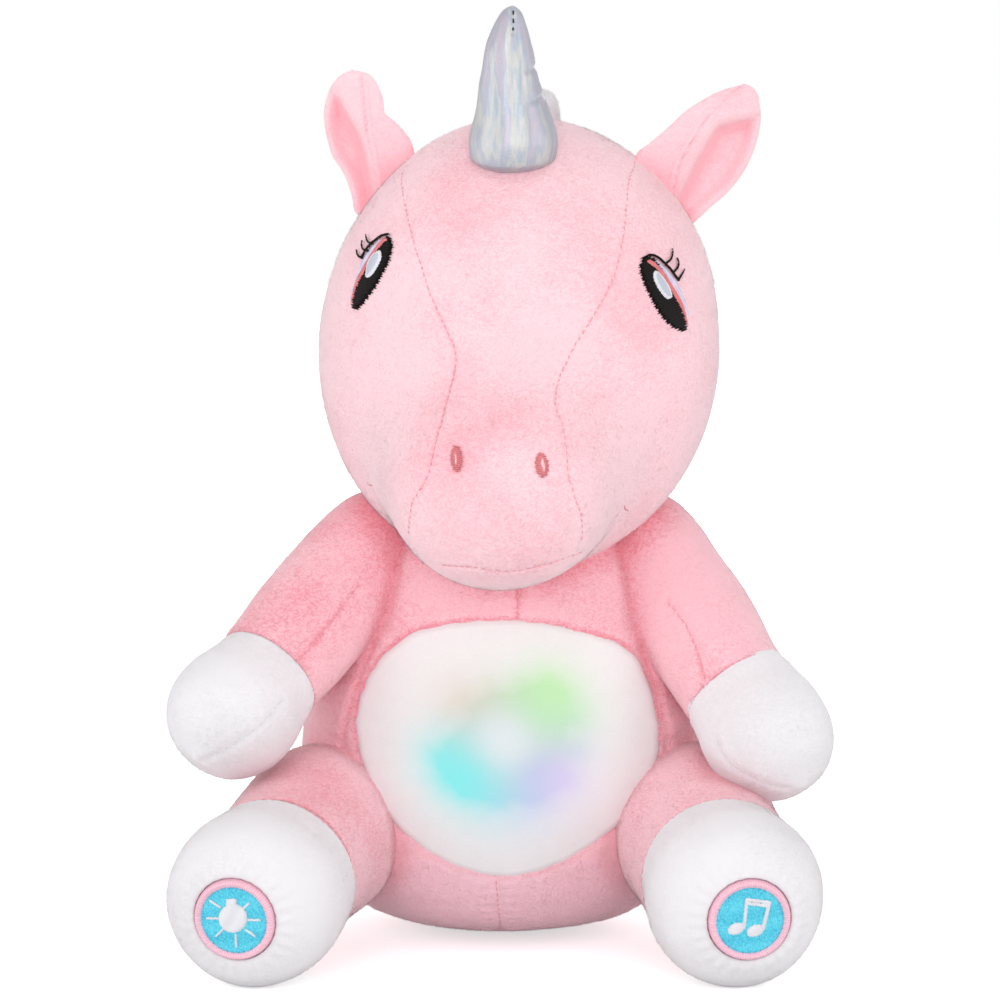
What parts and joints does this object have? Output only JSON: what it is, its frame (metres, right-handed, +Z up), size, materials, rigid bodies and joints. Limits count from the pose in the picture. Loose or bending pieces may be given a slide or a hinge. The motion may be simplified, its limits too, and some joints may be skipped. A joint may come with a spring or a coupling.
{
  "type": "plush night light",
  "caption": "Seated plush unicorn night light with a glowing belly window, press buttons in its soles, swinging arms, a nodding head and a battery flap in its back.",
  "frame": {"origin": "centre of the torso's flat seat, on the floor", "axes": "+Z up, -Y the way the toy faces, +X the right of a viewer who faces it; pieces named left lie at -X, the viewer's left"},
  "size_m": [0.2138, 0.2162, 0.3068],
  "materials": {
    "badge_thread": "satin stitch, cyan with a pink rim",
    "black_plastic": "moulded, matt",
    "board_green": "circuit board, green",
    "body_plush": "short brushed pile, pink",
    "cell_wrap": "plain dark sleeve",
    "ear_plush": "short brushed pile, pink with a coral inside",
    "eye_thread": "satin stitch, black with coral and lilac bands",
    "foam": "soft foam",
    "head_plush": "short brushed pile, pale pink",
    "horn_cloth": "silver holographic lame",
    "lead_rubber": "pale grey sleeve",
    "led_cyan": "cyan lamp",
    "led_green": "green lamp",
    "led_peach": "peach lamp",
    "led_violet": "violet lamp",
    "led_white": "white lamp",
    "lens_plastic": "frosted, clear",
    "nostril_thread": "satin stitch, rose red",
    "speaker_paper": "black paper cone",
    "steel": "bright steel",
    "strip_nylon": "hook-and-loop tape, white",
    "white_plastic": "moulded, matt",
    "white_plush": "short brushed pile, white",
    "window_cloth": "thin off-white velour that light shines through"
  },
  "bodies": {
    "torso": {"battery_door": "white_plastic", "battery_tray": "white_plastic", "belly_window": "window_cloth", "button_cup_left": "white_plastic", "button_cup_right": "white_plastic", "button_spring_left": "steel", "button_spring_right": "steel", "case_screw_left": "steel", "case_screw_right": "steel", "cell_lower": "cell_wrap", "cell_middle": "cell_wrap", "cell_upper": "cell_wrap", "circuit_board": "board_green", "contact_left": "steel", "contact_right": "steel", "diffuser_lens": "lens_plastic", "door_screw": "steel", "foot_cap_left": "white_plush", "foot_cap_right": "white_plush", "foot_lead_left": "lead_rubber", "foot_lead_right": "lead_rubber", "hook_strip": "strip_nylon", "led_board": "board_green", "led_cyan": "led_cyan", "led_green": "led_green", "led_peach": "led_peach", "led_violet": "led_violet", "led_white": "led_white", "leg_left": "body_plush", "leg_right": "body_plush", "light_housing": "white_plastic", "light_lead": "lead_rubber", "power_switch_body": "steel", "sound_case_front": "white_plastic", "speaker": "speaker_paper", "switch_board_left": "board_green", "switch_board_right": "board_green", "tail": "white_plush", "torso": "body_plush"},
    "head": {"head": "head_plush", "horn": "horn_cloth", "mane": "white_plush", "ear_left": "ear_plush", "ear_right": "ear_plush", "eye_left": "eye_thread", "eye_right": "eye_thread", "nostril_left": "nostril_thread", "nostril_right": "nostril_thread"},
    "arm_left": {"arm_left": "body_plush", "hoof_cap_left": "white_plush"},
    "button_left": {"badge_left": "badge_thread", "button_cap_left": "white_plastic"},
    "arm_right": {"arm_right": "body_plush", "hoof_cap_right": "white_plush"},
    "button_right": {"badge_right": "badge_thread", "button_cap_right": "white_plastic"},
    "flap": {"back_flap": "body_plush", "flap_pad": "foam", "loop_strip": "strip_nylon"},
    "switch": {"power_switch_knob": "black_plastic"}
  },
  "joints": [
    {"name": "head_nod", "type": "hinge", "parent": "torso", "child": "head", "pos_m": [0.00266, -0.003, 0.105], "axis": [1, 0, 0], "range_deg": [-6, 6], "stiffness_Nm_per_rad": 5},
    {"name": "arm_left_swing", "type": "hinge", "parent": "torso", "child": "arm_left", "pos_m": [-0.0376, -0.008, 0.13], "axis": [-1, 0, 0], "range_deg": [0, 35], "stiffness_Nm_per_rad": 0.03, "springref_deg": -20.05},
    {"name": "arm_right_swing", "type": "hinge", "parent": "torso", "child": "arm_right", "pos_m": [0.0445, -0.008, 0.13], "axis": [-1, 0, 0], "range_deg": [0, 35], "stiffness_Nm_per_rad": 0.03, "springref_deg": -20.05},
    {"name": "foot_button_left", "type": "slide", "parent": "torso", "child": "button_left", "axis": [0.2722, 0.9494, 0.1564], "range_m": [0, 0.0025], "stiffness_N_per_m": 500, "springref_m": -0.002, "deforming": ["button_spring_left"]},
    {"name": "foot_button_right", "type": "slide", "parent": "torso", "child": "button_right", "axis": [-0.1715, 0.9727, 0.1564], "range_m": [0, 0.0025], "stiffness_N_per_m": 500, "springref_m": -0.002, "deforming": ["button_spring_right"]},
    {"name": "power_switch", "type": "slide", "parent": "torso", "child": "switch", "axis": [1, 0, 0], "range_m": [0, 0.004]},
    {"name": "flap_swing", "type": "hinge", "parent": "torso", "child": "flap", "pos_m": [0, 0.05612, 0.0961], "axis": [1, 0, 0], "range_deg": [0, 110]}
  ]
}
